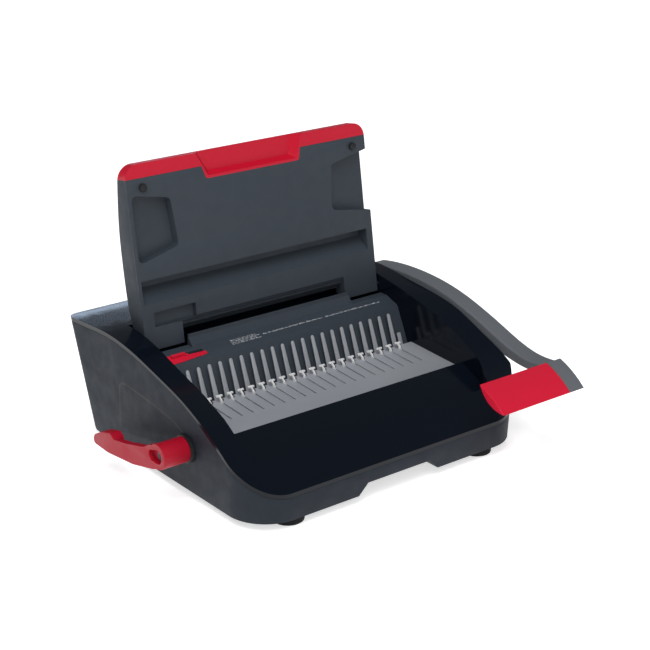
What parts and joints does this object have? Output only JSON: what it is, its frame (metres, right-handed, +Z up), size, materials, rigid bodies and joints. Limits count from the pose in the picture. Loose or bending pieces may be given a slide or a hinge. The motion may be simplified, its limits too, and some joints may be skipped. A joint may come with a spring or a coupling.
{
  "type": "comb binding machine",
  "caption": "Desktop punch and comb binder: hinged cover, side punch handle, toothed comb opener with pull lever, guide and chip drawer",
  "frame": {"origin": "centre of the bounding box on the table plane under the rubber feet", "axes": "+Z up, +X to the user's right along the comb, +Y from front to back"},
  "size_m": [0.4475, 0.4168, 0.3297],
  "materials": {
    "housing_dark": "fine matte texture",
    "lid_dark": "fine matte texture",
    "red_gloss": "glossy",
    "arm_silver": "satin metallic paint",
    "steel": "brushed",
    "plate_steel": "zinc plated satin",
    "bright": "bright plated",
    "foot_rubber": "matte",
    "gear_plastic": "natural white",
    "brass": "plain",
    "tray_black": "matte"
  },
  "bodies": {
    "housing": {"base_housing": "housing_dark", "top_cover": "housing_dark", "comb_plate": "plate_steel", "comb_tines": "steel", "tine_carrier": "plate_steel", "punch_panel": "housing_dark", "die_plate": "steel", "stripper_plate": "steel", "throat_stop": "steel", "side_frame_left": "plate_steel", "side_frame_right": "plate_steel", "frame_tie_rods": "steel", "shaft_bushes": "brass", "lid_hinge_pins": "steel", "hook_guides": "plate_steel", "lever_collar": "tray_black", "rubber_feet": "foot_rubber"},
    "lid": {"lid_outer_shell": "lid_dark", "lid_inner_panel": "lid_dark", "lid_red_trim": "red_gloss", "lid_bumpers": "foot_rubber"},
    "punch_lever": {"punch_arm": "arm_silver", "punch_grip": "red_gloss", "arm_screw": "bright", "punch_shaft": "steel", "punch_cranks": "plate_steel"},
    "punch_bar": {"pressure_bar": "plate_steel", "punch_pins": "steel"},
    "comb_lever_unit": {"comb_lever": "red_gloss", "lever_screw": "bright", "comb_shaft": "steel", "comb_pinions": "gear_plastic"},
    "hook_carriage": {"hook_plate": "bright", "hook_racks": "steel"},
    "guide": {"edge_guide": "red_gloss"},
    "tray": {"chip_tray": "tray_black"}
  },
  "joints": [
    {"name": "lid_hinge", "type": "hinge", "parent": "housing", "child": "lid", "pos_m": [0.006, 0.09262, 0.134], "axis": [1, 0, 0], "range_deg": [0, 115.1]},
    {"name": "punch_lever_hinge", "type": "hinge", "parent": "housing", "child": "punch_lever", "pos_m": [0.006, 0.13862, 0.092], "axis": [-1, 0, 0], "range_deg": [0, 60]},
    {"name": "punch_bar_slide", "type": "slide", "parent": "housing", "child": "punch_bar", "axis": [0, 1, 0], "range_m": [0, 0.009]},
    {"name": "comb_lever_hinge", "type": "hinge", "parent": "housing", "child": "comb_lever_unit", "pos_m": [-0.194, -0.02988, 0.0625], "axis": [1, 0, 0], "range_deg": [0, 100]},
    {"name": "hook_slide", "type": "slide", "parent": "housing", "child": "hook_carriage", "axis": [0, -0.9982, -0.0593], "range_m": [0, 0.028]},
    {"name": "guide_slide", "type": "slide", "parent": "housing", "child": "guide", "axis": [1, 0, 0], "range_m": [-0.001, 0.012]},
    {"name": "tray_slide", "type": "slide", "parent": "housing", "child": "tray", "axis": [0, 1, 0], "range_m": [0, 0.11]}
  ],
  "couplings": [
    {"joint": "punch_bar_slide", "follows": "punch_lever_hinge", "m_per_rad": 0.008594},
    {"joint": "hook_slide", "follows": "comb_lever_hinge", "m_per_rad": 0.016}
  ]
}
